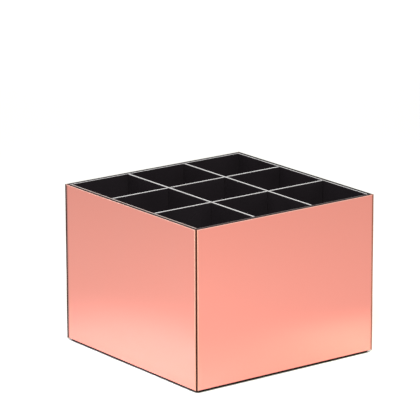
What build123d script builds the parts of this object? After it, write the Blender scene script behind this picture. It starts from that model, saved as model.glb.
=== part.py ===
from build123d import *
import os
from math import atan2, degrees, sqrt

# A square desk-top holder for make-up brushes, in millimetres. X runs to the right, Y to the
# back and Z up. The origin is the centre of the underside, on the table.

# Overall plan, and the height of the mirrored walls above the pad
outer_width = 171.0
outer_depth = 171.0
wall_height = 125.0

# Layers of a wall, from the outside in
mirror_thickness = 2.0
tape_thickness = 0.8
lining_thickness = 1.5

# Layers of the bottom, from the table up
pad_thickness = 2.0
floor_thickness = 3.0

# Pad under the floor
pad_inset = 2.0
pad_corner_radius = 3.0

# Polished edges of the mirror panels, and the filled joints where two panels meet
mirror_arris = 0.3
corner_flat = 1.0
corner_joint = 1.0
joint_proud = 1.25

# Upper edge of the tape lies below the rim
tape_recess = 0.4

# Small chamfer along the upper edges of the lining walls and dividers
edge_break = 0.3

# Divider grid
compartments_across = 3
compartments_deep = 3
divider_thickness = 2.0
grid_clearance = 0.3
halving_clearance = 0.1

# Heights of the layers
floor_bottom = pad_thickness
floor_top = floor_bottom + floor_thickness
rim = pad_thickness + wall_height

# Plan sizes inside the tape, and inside the lining
core_width = outer_width - 2 * (mirror_thickness + tape_thickness)
core_depth = outer_depth - 2 * (mirror_thickness + tape_thickness)
cavity_width = core_width - 2 * lining_thickness
cavity_depth = core_depth - 2 * lining_thickness

# The four sides in order, each a quarter turn on from the last. Front and back lap the ends of the others
sides = ("front", "right", "back", "left")
lapping_sides = ("front", "back")
quarter_turn = 90


def save(node, solid):
    export_step(solid, f"parts/{node}.step")


def side_reach(side):
    """Length of a side, and the distance of its outer face from the centre."""
    if side in lapping_sides:
        return outer_width, outer_depth / 2
    return outer_depth, outer_width / 2


def upright_sheet(length, outer_face, thickness, bottom, top):
    """A flat upright sheet along the front side, its outer face at y = -outer_face."""
    centre = Pos(0, thickness / 2 - outer_face, (bottom + top) / 2)
    return centre * Box(length, thickness, top - bottom)


def break_upper_edges(sheet, size):
    """Chamfer the two long upper edges of a sheet that runs along X."""
    upper_edges = sheet.edges().filter_by(Axis.X).group_by(Axis.Z)[-1]
    return chamfer(upper_edges, size)


def mirror_panel(side):
    """A mitred mirror panel, made on the front side, with a polished flat at each upright edge."""
    length, outer_face = side_reach(side)
    ends = [
        ((corner_joint + 2 * corner_flat) / sqrt(2), 0),
        ((corner_joint + corner_flat) / sqrt(2), corner_flat / sqrt(2)),
        (corner_joint / sqrt(2) + mirror_thickness, mirror_thickness),
    ]
    left_end = [(inward - length / 2, depth - outer_face) for inward, depth in ends]
    right_end = [(-x, y) for x, y in reversed(left_end)]
    outline = Polygon(*left_end, *right_end, align=None)
    panel = Pos(0, 0, floor_bottom) * extrude(outline, amount=wall_height, dir=(0, 0, 1))
    outer_edges = panel.edges().filter_by(Axis.X).group_by(Axis.Y)[0]
    return chamfer(outer_edges, mirror_arris)


def wall_layer(side, inset, thickness, bottom, top):
    """One layer of a wall. Front and back run past the ends of the layers between them."""
    length, outer_face = side_reach(side)
    end_cut = inset if side in lapping_sides else inset + thickness
    return upright_sheet(length - 2 * end_cut, outer_face - inset, thickness, bottom, top)


def bonding_tape(side):
    """Black foam tape that holds a mirror panel to the lining box."""
    return wall_layer(side, mirror_thickness, tape_thickness, floor_bottom, rim - tape_recess)


def lining_wall(side):
    """Glossy black sheet that stands on the floor plate."""
    inset = mirror_thickness + tape_thickness
    return break_upper_edges(wall_layer(side, inset, lining_thickness, floor_top, rim), edge_break)


def corner_filler(x_side, y_side):
    """Bead of dark joint compound between two mirror panels, its round nose proud of their edges."""
    radius = corner_joint / 2
    nose = radius + corner_flat - joint_proud
    tail = mirror_thickness * sqrt(2)
    strip = Pos((nose + radius + tail) / 2, 0) * Rectangle(tail - nose - radius, corner_joint)
    outline = strip + Pos(nose + radius, 0) * Circle(radius)
    bead = extrude(outline, amount=wall_height, dir=(0, 0, 1))
    square_corner = Pos(x_side * outer_width / 2, y_side * outer_depth / 2, floor_bottom)
    return square_corner * Rot(0, 0, degrees(atan2(-y_side, -x_side))) * bead


def floor_plate():
    """Black plate that carries the lining walls and closes the compartments below."""
    return Pos(0, 0, (floor_bottom + floor_top) / 2) * Box(core_width, core_depth, floor_thickness)


def base_pad():
    """Soft pad under the floor plate, with rounded corners."""
    outline = RectangleRounded(outer_width - 2 * pad_inset, outer_depth - 2 * pad_inset, pad_corner_radius)
    return extrude(outline, amount=pad_thickness, dir=(0, 0, 1))


def divider_places(cavity, compartments):
    """Centres of the dividers that part a cavity into equal compartments."""
    pitch = (cavity + divider_thickness) / compartments
    return [(i - compartments / 2) * pitch for i in range(1, compartments)]


def divider(cavity, slot_places, slot_bottom, slot_top):
    """A divider that runs along X, with a halving slot for each divider that crosses it."""
    length = cavity - 2 * grid_clearance
    sheet = break_upper_edges(
        upright_sheet(length, divider_thickness / 2, divider_thickness, floor_top, rim), edge_break
    )
    slot_width = divider_thickness + 2 * halving_clearance
    for place in slot_places:
        slot = Box(slot_width, 2 * divider_thickness, slot_top - slot_bottom)
        sheet -= Pos(place, 0, (slot_bottom + slot_top) / 2) * slot
    return sheet


os.makedirs("parts", exist_ok=True)

for number, side in enumerate(sides):
    turn = Rot(0, 0, quarter_turn * number)
    save(f"{side}_mirror_panel", turn * mirror_panel(side))
    save(f"{side}_bonding_tape", turn * bonding_tape(side))
    save(f"{side}_lining_wall", turn * lining_wall(side))

for y_name, y_side in (("front", -1), ("back", 1)):
    for x_name, x_side in (("left", -1), ("right", 1)):
        save(f"{y_name}_{x_name}_corner_filler", corner_filler(x_side, y_side))

save("floor_plate", floor_plate())
save("base_pad", base_pad())

# The dividers across the box are slotted from the top, those from front to back from below
deep_divider_places = divider_places(cavity_width, compartments_across)
cross_divider_places = divider_places(cavity_depth, compartments_deep)
halving_height = (floor_top + rim) / 2

for number, place in enumerate(cross_divider_places, start=1):
    cross_divider = divider(cavity_width, deep_divider_places, halving_height, rim)
    save(f"cross_divider_{number}", Pos(0, place, 0) * cross_divider)

for number, place in enumerate(deep_divider_places, start=1):
    deep_divider = divider(cavity_depth, cross_divider_places, floor_top, halving_height)
    save(f"deep_divider_{number}", Pos(place, 0, 0) * Rot(0, 0, quarter_turn) * deep_divider)
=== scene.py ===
import math

import bmesh
import bpy
from mathutils import Matrix, Quaternion, Vector


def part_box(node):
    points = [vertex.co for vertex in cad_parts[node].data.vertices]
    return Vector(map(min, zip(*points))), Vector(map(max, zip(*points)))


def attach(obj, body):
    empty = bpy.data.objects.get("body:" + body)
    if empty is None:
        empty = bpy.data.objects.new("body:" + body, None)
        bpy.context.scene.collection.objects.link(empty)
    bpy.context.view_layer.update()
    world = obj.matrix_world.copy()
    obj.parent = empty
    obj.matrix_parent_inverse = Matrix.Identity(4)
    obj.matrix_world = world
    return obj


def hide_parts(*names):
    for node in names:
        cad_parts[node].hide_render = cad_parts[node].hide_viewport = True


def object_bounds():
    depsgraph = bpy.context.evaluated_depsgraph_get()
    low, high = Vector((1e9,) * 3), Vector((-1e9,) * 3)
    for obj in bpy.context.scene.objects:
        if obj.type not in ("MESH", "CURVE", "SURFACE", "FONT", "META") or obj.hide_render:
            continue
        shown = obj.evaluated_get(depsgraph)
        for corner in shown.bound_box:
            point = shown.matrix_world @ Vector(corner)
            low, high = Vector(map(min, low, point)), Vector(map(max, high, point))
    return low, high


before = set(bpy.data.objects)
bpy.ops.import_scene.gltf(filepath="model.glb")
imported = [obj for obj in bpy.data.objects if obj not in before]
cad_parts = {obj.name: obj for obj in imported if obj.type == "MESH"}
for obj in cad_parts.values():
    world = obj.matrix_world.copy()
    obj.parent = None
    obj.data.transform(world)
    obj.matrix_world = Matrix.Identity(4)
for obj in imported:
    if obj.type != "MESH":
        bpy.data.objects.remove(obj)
cad_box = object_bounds()

# Studio. A sheet of matt white paper board lies under the holder. Soft boxes light it from outside the
# picture, and strip lamps behind grids from close by, all unseen. The camera stands where the photograph
# was taken from, behind a long lens.

MM = 0.001
CAMERA_PLACE = (-1.4344, -1.8998, 0.7517)
CAMERA_AIM = (0.57968, 0.77220, -0.26013)
CAMERA_ROLL = math.radians(-0.15)
LENS_MM = 272.6
SENSOR_MM = 36
FARTHEST_SEEN = 60
PAPER = "#EEEEEE"
PAPER_FIBRE = "#F4F4F4"
FIBRE_MOTTLE = 2 * MM
PAPER_TOP = -0.1 * MM
PAPER_REACH = 14
DAYLIGHT = "#FFFFFF"
DAYLIGHT_STRENGTH = 0.7
WARM_LIGHT = "#FFFFEE"
AMBER_LIGHT = "#FFFFE7"
COOL_LIGHT = "#F0F7FF"
AWAY_FROM_CAMERA = Vector((0.604, 0.797, 0))
NO_GRID = 180
COARSE_GRID = 60
FINE_GRID = 40


def linear(srgb):
    """The linear colour of an sRGB hex value."""
    parts = [int(srgb[i:i + 2], 16) / 255 for i in (1, 3, 5)]
    return [c / 12.92 if c <= 0.04045 else ((c + 0.055) / 1.055) ** 2.4 for c in parts] + [1.0]


def add_node(tree, kind, inputs=None, **settings):
    """Adds a node, makes its settings, and fills its inputs with values or links."""
    added = tree.nodes.new(kind)
    for name, value in settings.items():
        setattr(added, name, value)
    for name, value in (inputs or {}).items():
        if isinstance(value, bpy.types.NodeSocket):
            tree.links.new(value, added.inputs[name])
        else:
            added.inputs[name].default_value = value
    return added


def new_finish(name, **constants):
    """A material with one Principled shader, whose constants are set on its own sockets."""
    finish = bpy.data.materials.new(name)
    finish.use_nodes = True
    tree = finish.node_tree
    tree.nodes.clear()
    shader = add_node(tree, "ShaderNodeBsdfPrincipled")
    for socket, value in constants.items():
        shader.inputs[socket.replace("_", " ")].default_value = value
    add_node(tree, "ShaderNodeOutputMaterial", {"Surface": shader.outputs[0]})
    return finish, tree, shader


def add_mesh_piece(name, mesh):
    """A finished piece: its object sits at the origin, and its place is in its mesh."""
    mesh.name = name
    piece = bpy.data.objects.new(name, mesh)
    bpy.context.scene.collection.objects.link(piece)
    return piece


def add_soft_box(name, centre, facing, size, radiance, colour=DAYLIGHT, spread=NO_GRID):
    """A rectangular soft box that faces a point and isn't seen itself. A grid narrows its spread."""
    lamp = bpy.data.lights.new(name, "AREA")
    lamp.shape = "RECTANGLE"
    lamp.size, lamp.size_y = size
    lamp.color = linear(colour)[:3]
    lamp.energy = radiance * math.pi * size[0] * size[1]
    lamp.spread = math.radians(spread)
    box = bpy.data.objects.new(name, lamp)
    box.location = centre
    box.rotation_mode = "QUATERNION"
    box.rotation_quaternion = (Vector(facing) - Vector(centre)).to_track_quat("-Z", "Y")
    box.visible_camera = False
    bpy.context.scene.collection.objects.link(box)


# Matt paper board, pressed from pulp: no gloss, and a faint mottle of fibres about 2 mm long
paper, tree, shader = new_finish("Paper board, matt", Roughness=0.9, Specular_IOR_Level=0.2)
place = add_node(tree, "ShaderNodeTexCoord").outputs["Object"]
mottle = add_node(tree, "ShaderNodeTexNoise", {"Vector": place, "Scale": 1 / FIBRE_MOTTLE, "Detail": 3.0})
tone = add_node(tree, "ShaderNodeMix", {
    "Factor": mottle.outputs[0], 6: linear(PAPER), 7: linear(PAPER_FIBRE)}, data_type="RGBA")
tree.links.new(tone.outputs[2], shader.inputs["Base Color"])

board = bmesh.new()
bmesh.ops.create_grid(board, x_segments=1, y_segments=1, size=PAPER_REACH)
bmesh.ops.translate(board, verts=board.verts, vec=(0, 0, PAPER_TOP))
mesh = bpy.data.meshes.new("paper_board")
board.to_mesh(mesh)
board.free()
mesh.materials.append(paper)
add_mesh_piece("paper_board", mesh)

world = bpy.data.worlds.new("Daylight")
world.use_nodes = True
background = world.node_tree.nodes["Background"]
background.inputs["Color"].default_value = linear(DAYLIGHT)
background.inputs["Strength"].default_value = DAYLIGHT_STRENGTH
bpy.context.scene.world = world

key_place = AWAY_FROM_CAMERA * -1.2 + Vector((0, 0, 1.8))
rear_place = AWAY_FROM_CAMERA * 2.0 + Vector((0, 0, 0.65))
# Each lamp has its centre, the point that it faces, its length and width, and its radiance
add_soft_box("overhead_box", (-0.25, -0.25, 0.5), (-0.25, -0.25, 0), (0.35, 0.35), 4.87)
add_soft_box("key_box", tuple(key_place), (0, 0, 0), (1.2, 1.2), 6.87, WARM_LIGHT)
add_soft_box("rear_box", tuple(rear_place), (0, 0, 0.12), (1.8, 0.9), 1.9)
# Strip lamps brighten the paper at the foot of the two faces that show, which mirror it
add_soft_box(
    "left_strip", (-0.28, 0.02, 0.3), (-0.09, 0.02, 0), (0.22, 0.06), 2.0, COOL_LIGHT, FINE_GRID)
add_soft_box(
    "left_low_strip", (-0.2, 0, 0.15), (-0.09, 0, 0), (0.22, 0.04), 0.42, COOL_LIGHT, COARSE_GRID)
add_soft_box(
    "front_strip", (0.02, -0.28, 0.3), (0.02, -0.09, 0), (0.22, 0.06), 0.64, AMBER_LIGHT, FINE_GRID)
add_soft_box(
    "right_low_strip", (0.11, -0.2, 0.15), (0.11, -0.09, 0), (0.1, 0.04), 2.3, AMBER_LIGHT, COARSE_GRID)

camera = bpy.data.objects.new("camera", bpy.data.cameras.new("camera"))
camera.location = CAMERA_PLACE
camera.rotation_mode = "QUATERNION"
aim = Vector(CAMERA_AIM).to_track_quat("-Z", "Y")
camera.rotation_quaternion = aim @ Quaternion((0, 0, 1), CAMERA_ROLL)
camera.data.sensor_width = SENSOR_MM
camera.data.lens = LENS_MM
camera.data.clip_end = FARTHEST_SEEN
bpy.context.scene.collection.objects.link(camera)
bpy.context.scene.camera = camera
bpy.context.scene.view_settings.view_transform = "Standard"

# Base pad. A sheet of black wool felt, die-cut with rounded corners and glued under the floor plate,
# a little inside the walls. The knife leaves loose fibres standing out of its cut edge.

FELT = "#0C0908"
FELT_LOFT = "#1B1513"
FELT_MOTTLE = 0.4 * MM
FELT_NAP = 0.2 * MM
FELT_EDGE_SOFTNESS = 0.35 * MM
CUT_EDGE_SLOPE = 0.3
FIBRE_LENGTH = 0.9 * MM
SHORTEST_FIBRE = 0.35
FIBRE_THICKNESS = 0.05 * MM
FIBRE_ELBOW = (0.3, 0, 0.6)
FIBRE_LEAN = (0.7, 0.7, 3.1)
FIBRES_PER_SQUARE_METRE = 1.6e6
FIBRE_SEED = 4
SAME_POINT = 0.002 * MM
SAME_PLANE = math.radians(0.5)


def take_mesh(piece):
    """The evaluated mesh of a piece, with its modifiers applied. The piece itself is removed."""
    bpy.context.view_layer.update()
    evaluated = piece.evaluated_get(bpy.context.evaluated_depsgraph_get())
    mesh = bpy.data.meshes.new_from_object(evaluated)
    bpy.data.objects.remove(piece)
    return mesh


def merged_copy(node):
    """A copy of a CAD node's mesh, its loose triangles merged into whole faces."""
    shape = bmesh.new()
    shape.from_mesh(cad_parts[node].data)
    bmesh.ops.remove_doubles(shape, verts=shape.verts, dist=SAME_POINT)
    bmesh.ops.dissolve_limit(
        shape, angle_limit=SAME_PLANE, verts=shape.verts, edges=shape.edges, delimit={"NORMAL"})
    mesh = bpy.data.meshes.new(node)
    shape.to_mesh(mesh)
    shape.free()
    mesh.materials.clear()
    return mesh


def soften_edges(piece, width, segments=2, angle=20):
    """Rounds a piece's sharp edges."""
    bevel = piece.modifiers.new("edges", "BEVEL")
    bevel.width = width
    bevel.segments = segments
    bevel.limit_method = "ANGLE"
    bevel.angle_limit = math.radians(angle)
    return bevel


def run_tree(name, tree, inputs, mesh=None):
    """A piece whose mesh a node tree makes, its named inputs filled before it is first evaluated."""
    piece = add_mesh_piece(name, mesh or bpy.data.meshes.new(name))
    modifier = piece.modifiers.new(tree.name, "NODES")
    modifier.node_group = tree
    for socket in tree.interface.items_tree:
        if socket.in_out == "INPUT" and socket.name in inputs:
            modifier[socket.identifier] = inputs[socket.name]
    return piece


def new_tree(name, inputs):
    """A geometry tree with named inputs. The second value holds its input sockets by name."""
    tree = bpy.data.node_groups.new(name, "GeometryNodeTree")
    for title, kind in inputs.items():
        tree.interface.new_socket(name=title, in_out="INPUT", socket_type="NodeSocket" + kind)
    tree.interface.new_socket(name="Geometry", in_out="OUTPUT", socket_type="NodeSocketGeometry")
    return tree, add_node(tree, "NodeGroupInput").outputs


# Needled wool felt: matt and dark, with a faint bloom at a flat angle from the fibres on its surface.
# The real fibres are 0.03 mm thick, drawn here as a mottle of 0.4 mm so that it shows
felt, tree, shader = new_finish(
    "Wool felt, die-cut", Roughness=0.95, Sheen_Weight=0.04, Sheen_Roughness=0.4, Specular_IOR_Level=0.05)
place = add_node(tree, "ShaderNodeTexCoord").outputs["Object"]
fibres = add_node(tree, "ShaderNodeTexNoise", {
    "Vector": place, "Scale": 1 / FELT_MOTTLE, "Detail": 4.0, "Roughness": 0.7, "Distortion": 1.5})
tone = add_node(tree, "ShaderNodeMix", {
    "Factor": fibres.outputs[0], 6: linear(FELT), 7: linear(FELT_LOFT)}, data_type="RGBA")
nap = add_node(tree, "ShaderNodeBump", {
    "Height": fibres.outputs[0], "Strength": 0.8, "Distance": FELT_NAP})
tree.links.new(tone.outputs[2], shader.inputs["Base Color"])
tree.links.new(nap.outputs[0], shader.inputs["Normal"])

# Loose fibres stand on the cut edge of the pad, each a thin bent wisp that leans its own way. None
# reaches above the pad or below the table
tree, given = new_tree("Felt fibres", {
    "Pad": "Geometry", "Thickness": "Float", "Fibre Length": "Float", "Fibre Thickness": "Float",
    "Density": "Float", "Seed": "Int", "Felt": "Material"})
facing = add_node(tree, "ShaderNodeSeparateXYZ", {
    "Vector": add_node(tree, "GeometryNodeInputNormal").outputs[0]})
upright = add_node(tree, "FunctionNodeCompare", {
    0: add_node(tree, "ShaderNodeMath", {0: facing.outputs["Z"]}, operation="ABSOLUTE").outputs[0],
    1: CUT_EDGE_SLOPE}, data_type="FLOAT", operation="LESS_THAN")
roots = add_node(tree, "GeometryNodeDistributePointsOnFaces", {
    "Mesh": given["Pad"], "Selection": upright.outputs[0], "Density": given["Density"],
    "Seed": given["Seed"]})
tip = add_node(tree, "ShaderNodeCombineXYZ", {"Z": given["Fibre Length"]})
elbow = add_node(tree, "ShaderNodeVectorMath", {
    0: FIBRE_ELBOW, "Scale": given["Fibre Length"]}, operation="SCALE")
wisp = add_node(tree, "GeometryNodeCurveQuadraticBezier", {
    "Resolution": 3, "Start": (0, 0, 0), "Middle": elbow.outputs[0], "End": tip.outputs[0]})
section = add_node(tree, "GeometryNodeCurvePrimitiveCircle", {
    "Resolution": 3, "Radius": given["Fibre Thickness"]})
strand = add_node(tree, "GeometryNodeCurveToMesh", {
    "Curve": wisp.outputs[0], "Profile Curve": section.outputs[0], "Fill Caps": True})
lean = add_node(tree, "FunctionNodeRandomValue", {
    0: tuple(-angle for angle in FIBRE_LEAN), 1: FIBRE_LEAN, "Seed": given["Seed"]},
    data_type="FLOAT_VECTOR")
turn = add_node(tree, "FunctionNodeRotateRotation", {
    "Rotation": roots.outputs["Rotation"],
    "Rotate By": add_node(tree, "FunctionNodeEulerToRotation", {0: lean.outputs[0]}).outputs[0]},
    rotation_space="LOCAL")
reach = add_node(tree, "FunctionNodeRandomValue", {
    2: SHORTEST_FIBRE, 3: 1.0, "Seed": given["Seed"]}, data_type="FLOAT")
standing = add_node(tree, "GeometryNodeInstanceOnPoints", {
    "Points": roots.outputs["Points"], "Instance": strand.outputs[0], "Rotation": turn.outputs[0],
    "Scale": reach.outputs[1]})
together = add_node(tree, "GeometryNodeJoinGeometry", {0: given["Pad"]})
tree.links.new(standing.outputs[0], together.inputs[0])
whole = add_node(tree, "GeometryNodeRealizeInstances", {"Geometry": together.outputs[0]})
at = add_node(tree, "ShaderNodeSeparateXYZ", {
    "Vector": add_node(tree, "GeometryNodeInputPosition").outputs[0]})
between = add_node(tree, "ShaderNodeClamp", {
    "Value": at.outputs["Z"], "Min": 0.0, "Max": given["Thickness"]})
pressed = add_node(tree, "GeometryNodeSetPosition", {
    "Geometry": whole.outputs[0],
    "Position": add_node(tree, "ShaderNodeCombineXYZ", {
        "X": at.outputs["X"], "Y": at.outputs["Y"], "Z": between.outputs[0]}).outputs[0]})
add_node(tree, "NodeGroupOutput", {"Geometry": add_node(tree, "GeometryNodeSetMaterial", {
    "Geometry": pressed.outputs[0], "Material": given["Felt"]}).outputs[0]})

pad = add_mesh_piece("pad", merged_copy("base_pad"))
soften_edges(pad, FELT_EDGE_SOFTNESS, segments=3, angle=50)
pad_low, pad_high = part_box("base_pad")
pad = run_tree("pad_with_fibres", tree, {
    "Thickness": pad_high.z, "Fibre Length": FIBRE_LENGTH, "Fibre Thickness": FIBRE_THICKNESS,
    "Density": FIBRES_PER_SQUARE_METRE, "Seed": FIBRE_SEED, "Felt": felt}, take_mesh(pad))
felt_pad = add_mesh_piece("felt_base_pad", take_mesh(pad))
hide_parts("base_pad")
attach(felt_pad, "box")

# Floor plate and lining walls. Sheets of cast black acrylic, sawn to size and solvent-welded into an
# open box, glossy as cast. The upper edges are scraped to a pale sheen. The left wall's edge is painted
# warmer, a painted reflection, and the front wall's edge is painted dark, a painted shade.

ACRYLIC = "#1A171A"
ACRYLIC_HANDLED = "#262226"
SCRAPED_EDGE = "#8C898A"
EDGE_OF_PAINTED_WARM_REFLECTION = "#74574B"
EDGE_OF_PAINTED_SHADE = "#3A2C2A"
SCRAPED_SHEEN = 0.32
SHADED_EDGE_SHEEN = 0.7
EDGE_BAND = 0.06 * MM
EDGE_FADE = 0.3
RUB_SPACING = 0.8 * MM
RUB_LENGTH = 25 * MM
RUB_DEPTH = 0.02 * MM
CLOUD_SIZE = 30 * MM
BUFF_SPACING = 0.5 * MM
BUFF_DEPTH = 0.05 * MM
RIM_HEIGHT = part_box("front_lining_wall")[1].z


def black_acrylic(name, rim_height, edge_colour, edge_roughness):
    """Cast acrylic: black and glossy, with hairline rubs, and a rim of another tone and roughness."""
    finish, tree, shader = new_finish(name, IOR=1.49)
    place = add_node(tree, "ShaderNodeTexCoord").outputs["Object"]
    # Cloth rubs run mostly upright, 0.8 mm apart and about 25 mm long
    along = add_node(tree, "ShaderNodeMapping", {
        "Vector": place, "Scale": (1 / RUB_SPACING, 1 / RUB_SPACING, 1 / RUB_LENGTH)})
    rubs = add_node(tree, "ShaderNodeTexNoise", {"Vector": along.outputs[0], "Scale": 1.0, "Detail": 3.0})
    cloudy = add_node(tree, "ShaderNodeTexNoise", {"Vector": place, "Scale": 1 / CLOUD_SIZE, "Detail": 2.0})
    haze = add_node(tree, "ShaderNodeMath", {
        0: rubs.outputs[0], 1: cloudy.outputs[0]}, operation="MULTIPLY")
    gloss = add_node(tree, "ShaderNodeMapRange", {
        "Value": haze.outputs[0], "From Min": 0.12, "From Max": 0.40, "To Min": 0.05, "To Max": 0.16})
    height = add_node(tree, "ShaderNodeSeparateXYZ", {"Vector": place}).outputs["Z"]
    rim = add_node(tree, "ShaderNodeMapRange", {
        "Value": height, "From Min": rim_height - EDGE_BAND,
        "From Max": rim_height - EDGE_BAND * (1 - EDGE_FADE)})
    tone = add_node(tree, "ShaderNodeMix", {
        "Factor": cloudy.outputs[0], 6: linear(ACRYLIC), 7: linear(ACRYLIC_HANDLED)}, data_type="RGBA")
    edged = add_node(tree, "ShaderNodeMix", {
        "Factor": rim.outputs[0], 6: tone.outputs[2], 7: linear(edge_colour)}, data_type="RGBA")
    sheen = add_node(tree, "ShaderNodeMix", {
        0: rim.outputs[0], 2: gloss.outputs[0], 3: edge_roughness}, data_type="FLOAT")
    # Buffing marks across the rim are about 0.5 mm apart
    marks = add_node(tree, "ShaderNodeTexNoise", {"Vector": place, "Scale": 1 / BUFF_SPACING, "Detail": 2.0})
    relief = add_node(tree, "ShaderNodeMath", {
        0: marks.outputs[0], 1: rim.outputs[0]}, operation="MULTIPLY")
    grain = add_node(tree, "ShaderNodeBump", {
        "Height": relief.outputs[0], "Strength": 0.3, "Distance": BUFF_DEPTH})
    scored = add_node(tree, "ShaderNodeBump", {
        "Height": rubs.outputs[0], "Strength": 0.04, "Distance": RUB_DEPTH, "Normal": grain.outputs[0]})
    tree.links.new(edged.outputs[2], shader.inputs["Base Color"])
    tree.links.new(sheen.outputs[0], shader.inputs["Roughness"])
    tree.links.new(scored.outputs[0], shader.inputs["Normal"])
    return finish


scraped = black_acrylic("Black acrylic, cast, scraped edge", RIM_HEIGHT, SCRAPED_EDGE, SCRAPED_SHEEN)
# The left wall's edge is painted warmer: a painted reflection
warm_reflection_edged = black_acrylic(
    "Black acrylic, cast, scraped edge, painted warm reflection", RIM_HEIGHT, EDGE_OF_PAINTED_WARM_REFLECTION, SCRAPED_SHEEN)
# The front wall's edge is painted dark: painted shade
shade_edged = black_acrylic("Black acrylic, cast, edge of painted shade", RIM_HEIGHT, EDGE_OF_PAINTED_SHADE, SHADED_EDGE_SHEEN)
lining_finishes = {
    "floor_plate": scraped,
    "right_lining_wall": scraped,
    "back_lining_wall": scraped,
    "left_lining_wall": warm_reflection_edged,
    "front_lining_wall": shade_edged,
}
for node, finish in lining_finishes.items():
    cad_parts[node].material_slots[0].material = finish

# Bonding tape. Black closed-cell foam tape, one sheet behind each mirror panel, cut a little below the
# rim. Only its cut edge shows, as a thin matt line full of open cells.

TAPE = "#0A0909"
TAPE_CELL_WALL = "#1C1A1A"
CELL_SIZE = 0.3 * MM
PIT_DEPTH = 0.15 * MM

# Expanded polyethylene foam: matt and black, pitted by cut cells 0.3 mm across
foam, tree, shader = new_finish("Polyethylene foam tape", Roughness=0.85, Specular_IOR_Level=0.3)
place = add_node(tree, "ShaderNodeTexCoord").outputs["Object"]
cells = add_node(tree, "ShaderNodeTexVoronoi", {"Vector": place, "Scale": 1 / CELL_SIZE})
tone = add_node(tree, "ShaderNodeMix", {
    "Factor": cells.outputs["Distance"], 6: linear(TAPE), 7: linear(TAPE_CELL_WALL)}, data_type="RGBA")
pits = add_node(tree, "ShaderNodeBump", {
    "Height": cells.outputs["Distance"], "Strength": 0.9, "Distance": PIT_DEPTH})
tree.links.new(tone.outputs[2], shader.inputs["Base Color"])
tree.links.new(pits.outputs[0], shader.inputs["Normal"])
for side in ("front", "right", "back", "left"):
    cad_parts[side + "_bonding_tape"].material_slots[0].material = foam

# Mirror panels. Float glass 2 mm thick, silvered in rose gold, cut to a mitre and edge-ground. The
# upright flats and upper arrises stay pale and satin, and the back, rim and foot are painted. The foot's
# dark paint and a dusky rim round each silvered face are painted shade.

SILVER = "#D68174"
SILVER_PAINTED_SHADE = "#BF736A"
SILVER_AT_FLAT_ANGLES = "#F3D6D0"
EDGE_SHADE_WIDTH = 0.9 * MM
EDGE_SHADE_RAG = 1.5 * MM
EDGE_SHADE_RAG_SHARE = 0.5
WIPED_PATCH = 35 * MM
FLOAT_RIPPLE = 60 * MM
RIPPLE_DEPTH = 0.1 * MM
BACK_EDGE_SHADE = "#4E2C28"
BACK_EDGE_SHADE_WIDTH = 2.6 * MM
BACK_EDGE_SHADE_CORE = 0.9 * MM
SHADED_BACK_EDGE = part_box("left_mirror_panel")[1].y
FLAT_PALE = "#D89B86"
FLAT_DEEP = "#CB8E79"
ARRIS_PALE = "#D49C90"
ARRIS_DEEP = "#C48D82"
GRIT_SIZE = 0.2 * MM
GRIT_DEPTH = 0.03 * MM
WHEEL_MARK = 4 * MM
GROUND_EDGE_ROUNDING = 0.08 * MM
PAINT = "#151212"
PAINT_WORN = "#211C1C"
ROLLER_MARK = 1.5 * MM
ROLLER_DEPTH = 0.1 * MM
SQUARE_ON = 0.99
SLOPING = 0.1

# Silvered glass: a metal film under clear glass, so a coloured mirror below an uncoloured gloss, with
# wiping haze in patches of 35 mm, a float ripple of 60 mm, and a ragged rim of painted shade about 1 mm wide
mirror, tree, shader = new_finish(
    "Rose gold mirror glass, silvered", Metallic=1.0, Coat_Weight=1.0, Coat_Roughness=0.02, Coat_IOR=1.5)
place = add_node(tree, "ShaderNodeTexCoord").outputs["Object"]
wiping = add_node(tree, "ShaderNodeTexNoise", {
    "Vector": place, "Scale": 1 / WIPED_PATCH, "Detail": 4.0, "Distortion": 0.8})
gloss = add_node(tree, "ShaderNodeMapRange", {
    "Value": wiping.outputs[0], "From Min": 0.35, "From Max": 0.7, "To Min": 0.03, "To Max": 0.09})
from_edge = add_node(tree, "ShaderNodeAttribute", attribute_name="from_edge")
ragged = add_node(tree, "ShaderNodeTexNoise", {"Vector": place, "Scale": 1 / EDGE_SHADE_RAG, "Detail": 3.0})
edge_shade_line = add_node(tree, "ShaderNodeMath", {
    0: ragged.outputs[0], 1: EDGE_SHADE_RAG_SHARE, 2: from_edge.outputs["Fac"]}, operation="MULTIPLY_ADD")
# Painted shade: the silver darkens in a ragged rim about 1 mm wide round each face
edge_shade = add_node(tree, "ShaderNodeMapRange", {
    "Value": edge_shade_line.outputs[0], "From Min": 0.35, "From Max": 1.0, "To Min": 1.0, "To Max": 0.0},
    interpolation_type="SMOOTHSTEP")
tone = add_node(tree, "ShaderNodeMix", {
    "Factor": edge_shade.outputs[0], 6: linear(SILVER), 7: linear(SILVER_PAINTED_SHADE)}, data_type="RGBA")
# Painted shade: the left panel darkens in a strip 2.6 mm wide along its back edge
to_back = add_node(tree, "ShaderNodeMapRange", {
    "Value": add_node(tree, "ShaderNodeSeparateXYZ", {"Vector": place}).outputs["Y"],
    "From Min": SHADED_BACK_EDGE - BACK_EDGE_SHADE_WIDTH, "From Max": SHADED_BACK_EDGE - BACK_EDGE_SHADE_CORE})
back_edge_shaded = add_node(tree, "ShaderNodeAttribute", attribute_name="back_edge_shaded")
back_shade = add_node(tree, "ShaderNodeMath", {
    0: to_back.outputs[0], 1: back_edge_shaded.outputs["Fac"]}, operation="MULTIPLY")
tone = add_node(tree, "ShaderNodeMix", {
    "Factor": back_shade.outputs[0], 6: tone.outputs[2], 7: linear(BACK_EDGE_SHADE)}, data_type="RGBA")
ripple = add_node(tree, "ShaderNodeTexNoise", {"Vector": place, "Scale": 1 / FLOAT_RIPPLE, "Detail": 1.0})
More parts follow.
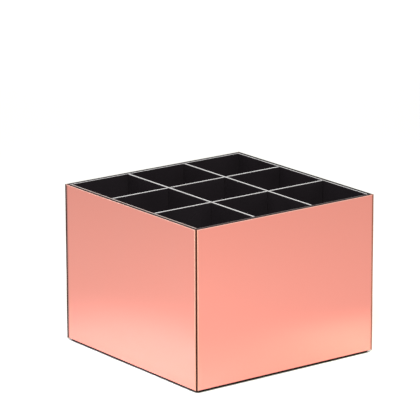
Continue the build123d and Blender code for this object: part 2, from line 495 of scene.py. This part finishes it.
float_wave = add_node(tree, "ShaderNodeBump", {
    "Height": ripple.outputs[0], "Strength": 0.2, "Distance": RIPPLE_DEPTH})
tree.links.new(tone.outputs[2], shader.inputs["Base Color"])
tree.links.new(gloss.outputs[0], shader.inputs["Roughness"])
tree.links.new(float_wave.outputs[0], shader.inputs["Normal"])
# Glass bends the light to meet the film steeply, so the film keeps its colour at flat angles
shader.inputs["Specular Tint"].default_value = linear(SILVER_AT_FLAT_ANGLES)


def ground_glass(name, pale, deep):
    """A ground edge of the sheet: satin, with a grit of 0.2 mm and wheel marks 4 mm long."""
    finish, tree, shader = new_finish(name, IOR=1.52)
    place = add_node(tree, "ShaderNodeTexCoord").outputs["Object"]
    grit = add_node(tree, "ShaderNodeTexNoise", {"Vector": place, "Scale": 1 / GRIT_SIZE, "Detail": 2.0})
    wheel = add_node(tree, "ShaderNodeTexNoise", {"Vector": place, "Scale": 1 / WHEEL_MARK, "Detail": 2.0})
    satin = add_node(tree, "ShaderNodeMapRange", {
        "Value": wheel.outputs[0], "From Min": 0.3, "From Max": 0.7, "To Min": 0.28, "To Max": 0.45})
    tone = add_node(tree, "ShaderNodeMix", {
        "Factor": wheel.outputs[0], 6: linear(deep), 7: linear(pale)}, data_type="RGBA")
    sanded = add_node(tree, "ShaderNodeBump", {
        "Height": grit.outputs[0], "Strength": 0.35, "Distance": GRIT_DEPTH})
    tree.links.new(tone.outputs[2], shader.inputs["Base Color"])
    tree.links.new(satin.outputs[0], shader.inputs["Roughness"])
    tree.links.new(sanded.outputs[0], shader.inputs["Normal"])
    return finish


# Light that travels inside the sheet leaves by its edges, so the upright flats are a pale peach. The
# arris lies close to the silver, so it is rosier
upright_flat = ground_glass("Ground glass, upright flat", FLAT_PALE, FLAT_DEEP)
arris = ground_glass("Ground glass, arris", ARRIS_PALE, ARRIS_DEEP)

# Backing paint, rolled over the silver and turned over the rim to seal it: matt, almost black, with
# roller marks 1.5 mm apart. On the foot and the lower arris it is painted shade
backing, tree, shader = new_finish("Mirror backing paint, rolled", Roughness=0.8, Specular_IOR_Level=0.1)
place = add_node(tree, "ShaderNodeTexCoord").outputs["Object"]
roller = add_node(tree, "ShaderNodeTexNoise", {"Vector": place, "Scale": 1 / ROLLER_MARK, "Detail": 2.0})
tone = add_node(tree, "ShaderNodeMix", {
    "Factor": roller.outputs[0], 6: linear(PAINT), 7: linear(PAINT_WORN)}, data_type="RGBA")
orange_peel = add_node(tree, "ShaderNodeBump", {
    "Height": roller.outputs[0], "Strength": 0.5, "Distance": ROLLER_DEPTH})
tree.links.new(tone.outputs[2], shader.inputs["Base Color"])
tree.links.new(orange_peel.outputs[0], shader.inputs["Normal"])
panel_finishes = [upright_flat, mirror, arris, backing]
ARRIS = panel_finishes.index(arris)
GROUND = (panel_finishes.index(upright_flat), ARRIS)

for side, outward in {"front": (0, -1), "right": (1, 0), "back": (0, 1), "left": (-1, 0)}.items():
    node = side + "_mirror_panel"
    panel_mesh = merged_copy(node)
    for finish in panel_finishes:
        panel_mesh.materials.append(finish)
    shape = bmesh.new()
    shape.from_mesh(panel_mesh)
    distance = shape.verts.layers.float.new("from_edge")
    back_shade_layer = shape.verts.layers.float.new("back_edge_shaded")
    ground = shape.edges.layers.float.new("bevel_weight_edge")
    silvered = [f for f in shape.faces if f.normal.xy.dot(Vector(outward)) > SQUARE_ON]
    for face in shape.faces:
        rise = face.normal.z
        kind = upright_flat
        # The foot and the lower arris take the backing paint as painted shade at the foot of the wall
        if rise > SQUARE_ON or rise < -SLOPING or face.normal.xy.dot(Vector(outward)) < -SQUARE_ON:
            kind = backing
        elif rise > SLOPING:
            kind = arris
        face.material_index = panel_finishes.index(kind)
    # The ring round each silvered face carries the rim of painted shade
    ring = bmesh.ops.inset_individual(shape, faces=silvered, thickness=EDGE_SHADE_WIDTH, use_even_offset=True)
    for face in [*silvered, *ring["faces"]]:
        face.material_index = panel_finishes.index(mirror)
    for face in silvered:
        for corner in face.verts:
            corner[distance] = 1.0
    for vertex in shape.verts:
        # Only the left panel carries the painted shade along its back edge
        vertex[back_shade_layer] = float(side == "left")
    for edge in shape.edges:
        edge[ground] = float(any(face.material_index in GROUND for face in edge.link_faces))
    shape.to_mesh(panel_mesh)
    shape.free()
    draft = add_mesh_piece("panel", panel_mesh)
    rounding = soften_edges(draft, GROUND_EDGE_ROUNDING)
    rounding.limit_method = "WEIGHT"
    rounding.material = ARRIS
    panel = add_mesh_piece(side + "_silvered_glass", take_mesh(draft))
    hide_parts(node)
    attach(panel, "box")

# Corner beads. Dark brown joint compound, run by hand down the mitre between two panels, so that its
# round nose stands a little proud of the ground flats and wavers slightly.

BEAD_WIDTH = 1.2 * MM
BEAD_TAIL = 2.83 * MM
BEAD_WAVER = 0.16 * MM
WAVER_LENGTH = 9 * MM
BEAD_RINGS = 48
NOSE_STEPS = 5
NOSE_SHARE = 0.499
FIRST_BEAD_SEED = 3.0
COMPOUND = "#220502"
COMPOUND_SMEAR_AND_GLEAM = "#8A5545"
DRAG_LENGTH = 6 * MM
DRAG_DEPTH = 0.1 * MM
SMEAR_SHARE = 0.12

# Hardened joint compound: matt, dark brown, with drag marks of 6 mm; lighter in smears and by a painted
# reflection
compound, tree, shader = new_finish("Joint compound, hand run", Roughness=0.7, Specular_IOR_Level=0.05)
place = add_node(tree, "ShaderNodeTexCoord").outputs["Object"]
drag = add_node(tree, "ShaderNodeTexNoise", {"Vector": place, "Scale": 1 / DRAG_LENGTH, "Detail": 4.0})
painted_gleam = add_node(tree, "ShaderNodeAttribute", attribute_name="painted_gleam")
smear_and_gleam = add_node(tree, "ShaderNodeMath", {
    0: drag.outputs[0], 1: SMEAR_SHARE, 2: painted_gleam.outputs["Fac"]},
    operation="MULTIPLY_ADD", use_clamp=True)
tone = add_node(tree, "ShaderNodeMix", {
    "Factor": smear_and_gleam.outputs[0], 6: linear(COMPOUND), 7: linear(COMPOUND_SMEAR_AND_GLEAM)}, data_type="RGBA")
dragged = add_node(tree, "ShaderNodeBump", {
    "Height": drag.outputs[0], "Strength": 0.4, "Distance": DRAG_DEPTH})
tree.links.new(tone.outputs[2], shader.inputs["Base Color"])
tree.links.new(dragged.outputs[0], shader.inputs["Normal"])

# The bead follows an upright path. Its section is a strip with round ends, which lies along X, its flanks
# sunk 0.1 mm into the glass. The rounds take just under half of its width each, so that they don't meet
tree, given = new_tree("Compound bead", {
    "Foot": "Float", "Top": "Float", "Width": "Float", "Depth": "Float", "Waver": "Float",
    "Seed": "Float", "Painted Gleam": "Float", "Compound": "Material"})
path = add_node(tree, "GeometryNodeResampleCurve", {
    "Curve": add_node(tree, "GeometryNodeCurvePrimitiveLine", {
        "Start": add_node(tree, "ShaderNodeCombineXYZ", {"Z": given["Foot"]}).outputs[0],
        "End": add_node(tree, "ShaderNodeCombineXYZ", {"Z": given["Top"]}).outputs[0]}).outputs[0],
    "Count": BEAD_RINGS})
radius = add_node(tree, "ShaderNodeMath", {0: given["Width"], 1: NOSE_SHARE}, operation="MULTIPLY")
strip = add_node(tree, "GeometryNodeCurvePrimitiveQuadrilateral", {
    "Width": given["Depth"], "Height": given["Width"]})
section = add_node(tree, "GeometryNodeFilletCurve", {
    "Curve": strip.outputs[0], "Radius": radius.outputs[0], "Count": NOSE_STEPS}, mode="POLY")
run = add_node(tree, "GeometryNodeCurveToMesh", {
    "Curve": path.outputs[0], "Profile Curve": section.outputs[0], "Fill Caps": True})
at = add_node(tree, "GeometryNodeInputPosition").outputs[0]
unsteady = add_node(tree, "ShaderNodeTexNoise", {
    "Vector": at, "W": given["Seed"], "Scale": 1 / WAVER_LENGTH, "Detail": 2.0},
    noise_dimensions="4D")
swing = add_node(tree, "ShaderNodeVectorMath", {
    0: unsteady.outputs["Color"], 1: (0.5, 0.5, 0.5)}, operation="SUBTRACT")
shift = add_node(tree, "ShaderNodeVectorMath", {
    0: swing.outputs[0], "Scale": given["Waver"]}, operation="SCALE")
level = add_node(tree, "ShaderNodeVectorMath", {
    0: shift.outputs[0], 1: (1, 1, 0)}, operation="MULTIPLY")
hand_run = add_node(tree, "GeometryNodeSetPosition", {
    "Geometry": run.outputs[0], "Offset": level.outputs[0]})
smooth = add_node(tree, "GeometryNodeSetShadeSmooth", {"Geometry": hand_run.outputs[0]})
spread = add_node(tree, "GeometryNodeStoreNamedAttribute", {
    # Each bead carries the share of painted reflection that lightens its compound
    "Geometry": smooth.outputs[0], "Name": "painted_gleam", "Value": given["Painted Gleam"]}, data_type="FLOAT")
whole = add_node(tree, "GeometryNodeRealizeInstances", {"Geometry": spread.outputs[0]})
add_node(tree, "NodeGroupOutput", {"Geometry": add_node(tree, "GeometryNodeSetMaterial", {
    "Geometry": whole.outputs[0], "Material": given["Compound"]}).outputs[0]})

box_low, box_high = cad_box
panel_low, panel_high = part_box("front_mirror_panel")
# Each bead's corner, the sides that it lies on, how far its nose stands back from the square corner,
# and how much painted reflection lightens its compound
beads = (
    ("front_left", -1, -1, 0.45 * MM, 0.0),
    ("front_right", 1, -1, 0.50 * MM, 0.85),
    ("back_left", -1, 1, 0.32 * MM, 0.0),
    ("back_right", 1, 1, 0.45 * MM, 0.1),
)
for number, (corner, x_side, y_side, setback, painted_gleam) in enumerate(beads):
    bead_mesh = take_mesh(run_tree("bead", tree, {
        "Foot": panel_low.z, "Top": panel_high.z, "Width": BEAD_WIDTH, "Depth": BEAD_TAIL - setback,
        "Waver": BEAD_WAVER, "Seed": FIRST_BEAD_SEED + number, "Painted Gleam": painted_gleam, "Compound": compound}))
    inward = math.atan2(-y_side, -x_side)
    square_corner = Vector((
        box_high.x if x_side > 0 else box_low.x, box_high.y if y_side > 0 else box_low.y, 0))
    bead_mesh.transform(
        Matrix.Translation(square_corner) @ Matrix.Rotation(inward, 4, "Z")
        @ Matrix.Translation(((setback + BEAD_TAIL) / 2, 0, 0)))
    bead = add_mesh_piece(corner + "_compound_bead", bead_mesh)
    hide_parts(corner + "_corner_filler")
    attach(bead, "box")

# Divider grid. Four black acrylic sheets, each with two halving slots, pushed together like the cells
# of a bottle crate. The loose grid stands on the floor plate and lifts out of the box in one piece.

BUFFED_EDGE = "#8C898A"
BUFFED_SHEEN = 0.32
SLOT_SPARE = 0.2 * MM
SLOT_OVERRUN = 1 * MM
DIVIDER_EDGE_ROUNDING = 0.3 * MM
DIVIDER_NUMBERS = (1, 2)

# One divider runs along X. A row of cutters, centred on it, takes a halving slot out for each divider
# that crosses it
tree, given = new_tree("Slotted divider", {
    "Length": "Float", "Thickness": "Float", "Height": "Float", "Mid Height": "Float",
    "Slot Width": "Float", "Slot Height": "Float", "Slot Mid Height": "Float", "Slot Pitch": "Float",
    "Slots": "Int", "Acrylic": "Material"})
sheet = add_node(tree, "GeometryNodeMeshCube", {"Size": add_node(tree, "ShaderNodeCombineXYZ", {
    "X": given["Length"], "Y": given["Thickness"], "Z": given["Height"]}).outputs[0]})
standing = add_node(tree, "GeometryNodeTransform", {
    "Geometry": sheet.outputs[0],
    "Translation": add_node(tree, "ShaderNodeCombineXYZ", {"Z": given["Mid Height"]}).outputs[0]})
cut_through = add_node(tree, "ShaderNodeMath", {0: given["Thickness"], 1: 2.0}, operation="MULTIPLY")
cutter = add_node(tree, "GeometryNodeMeshCube", {"Size": add_node(tree, "ShaderNodeCombineXYZ", {
    "X": given["Slot Width"], "Y": cut_through.outputs[0], "Z": given["Slot Height"]}).outputs[0]})
steps = add_node(tree, "ShaderNodeMath", {0: given["Slots"], 1: 1.0}, operation="SUBTRACT")
span = add_node(tree, "ShaderNodeMath", {
    0: steps.outputs[0], 1: given["Slot Pitch"]}, operation="MULTIPLY")
first_slot = add_node(tree, "ShaderNodeMath", {0: span.outputs[0], 1: -0.5}, operation="MULTIPLY")
row = add_node(tree, "GeometryNodeMeshLine", {
    "Count": given["Slots"],
    "Start Location": add_node(tree, "ShaderNodeCombineXYZ", {
        "X": first_slot.outputs[0], "Z": given["Slot Mid Height"]}).outputs[0],
    "Offset": add_node(tree, "ShaderNodeCombineXYZ", {"X": given["Slot Pitch"]}).outputs[0]},
    mode="OFFSET")
cutters = add_node(tree, "GeometryNodeRealizeInstances", {
    "Geometry": add_node(tree, "GeometryNodeInstanceOnPoints", {
        "Points": row.outputs[0], "Instance": cutter.outputs[0]}).outputs[0]})
slotted = add_node(tree, "GeometryNodeMeshBoolean", {
    "Mesh 1": standing.outputs[0], "Mesh 2": cutters.outputs[0]}, operation="DIFFERENCE")
add_node(tree, "NodeGroupOutput", {"Geometry": add_node(tree, "GeometryNodeSetMaterial", {
    "Geometry": add_node(tree, "GeometryNodeRealizeInstances", {
        "Geometry": slotted.outputs[0]}).outputs[0],
    "Material": given["Acrylic"]}).outputs[0]})

divider_low, divider_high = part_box("cross_divider_1")
sheet_thickness = divider_high.y - divider_low.y
halving_height = (divider_low.z + divider_high.z) / 2
acrylic_sheet = black_acrylic(
    "Black acrylic, cast, buffed edge", divider_high.z, BUFFED_EDGE, BUFFED_SHEEN)
# Each kind's crossing kind, its turn, and the foot and top of its slots' cutters
kinds = {
    "cross": ("deep", 0, halving_height, divider_high.z + SLOT_OVERRUN),
    "deep": ("cross", 90, divider_low.z - SLOT_OVERRUN, halving_height),
}
for kind, (crossing, turn, slot_foot, slot_top) in kinds.items():
    along = 0 if kind == "cross" else 1
    crossings = [sum(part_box(f"{crossing}_divider_{i}"), Vector())[along] / 2 for i in DIVIDER_NUMBERS]
    for number in DIVIDER_NUMBERS:
        node = f"{kind}_divider_{number}"
        low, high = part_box(node)
        size = high - low
        centre = (low + high) / 2
        draft = run_tree("divider", tree, {
            "Length": size[along], "Thickness": sheet_thickness, "Height": size.z, "Mid Height": centre.z,
            "Slot Width": sheet_thickness + SLOT_SPARE, "Slot Height": slot_top - slot_foot,
            "Slot Mid Height": (slot_foot + slot_top) / 2, "Slot Pitch": crossings[1] - crossings[0],
            "Slots": len(crossings), "Acrylic": acrylic_sheet})
        soften_edges(draft, DIVIDER_EDGE_ROUNDING, angle=40)
        divider_mesh = take_mesh(draft)
        divider_mesh.transform(
            Matrix.Translation((centre.x, centre.y, 0)) @ Matrix.Rotation(math.radians(turn), 4, "Z"))
        divider = add_mesh_piece(f"{kind}_acrylic_divider_{number}", divider_mesh)
        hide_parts(node)
        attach(divider, "divider_grid")
